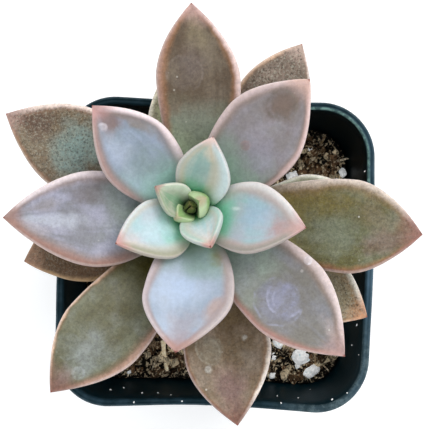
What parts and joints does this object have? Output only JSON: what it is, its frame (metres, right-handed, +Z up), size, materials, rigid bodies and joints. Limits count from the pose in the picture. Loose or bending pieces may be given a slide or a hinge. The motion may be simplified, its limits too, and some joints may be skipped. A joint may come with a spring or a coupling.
{
  "type": "potted succulent",
  "caption": "Rosette of thick pointed leaves spiralling up a short leaning stem, rooted in bark and perlite soil in a small square tapering black nursery pot with a stepped rim.",
  "frame": {"origin": "middle of the pot's flat underside, on the surface that the pot stands on", "axes": "+Z up; +Y towards the far side of the pot, the side that the stem leans to; +X to the right"},
  "size_m": [0.0809, 0.0809, 0.0837],
  "materials": {
    "pot": "satin moulded black plastic, slightly blue on the rim, dusty inside",
    "soil": "loose brown bark and coir chips",
    "perlite": "rough white expanded grains",
    "straw": "dry pale straw",
    "stem": "green-brown fleshy stem with pale leaf scars",
    "crown": "waxy yellow-green with cream edges and pink tips",
    "leaf_inner": "waxy mint green, cream-pink edges",
    "leaf_middle": "waxy lilac grey, green towards the foot, pink edges",
    "leaf_outer": "dusty brown-olive with fine speckles and pink-orange edges"
  },
  "bodies": {
    "root": {"pot": "pot", "soil": "soil", "stem": "stem", "crown": "crown", "leaf_01": "leaf_inner", "leaf_02": "leaf_inner", "leaf_03": "leaf_inner", "leaf_04": "leaf_middle", "leaf_05": "leaf_middle", "leaf_06": "leaf_middle", "leaf_07": "leaf_middle", "leaf_08": "leaf_middle", "leaf_09": "leaf_outer", "leaf_10": "leaf_outer", "leaf_11": "leaf_outer", "leaf_12": "leaf_outer", "leaf_13": "leaf_outer", "leaf_14": "leaf_outer", "leaf_15": "leaf_outer", "leaf_16": "leaf_outer", "leaf_17": "leaf_outer", "leaf_18": "leaf_outer", "leaf_19": "leaf_outer", "perlite_1": "perlite", "perlite_2": "perlite", "perlite_3": "perlite", "perlite_4": "perlite", "perlite_5": "perlite", "perlite_6": "perlite", "perlite_7": "perlite", "perlite_8": "perlite", "perlite_9": "perlite", "straw": "straw"}
  },
  "joints": []
}
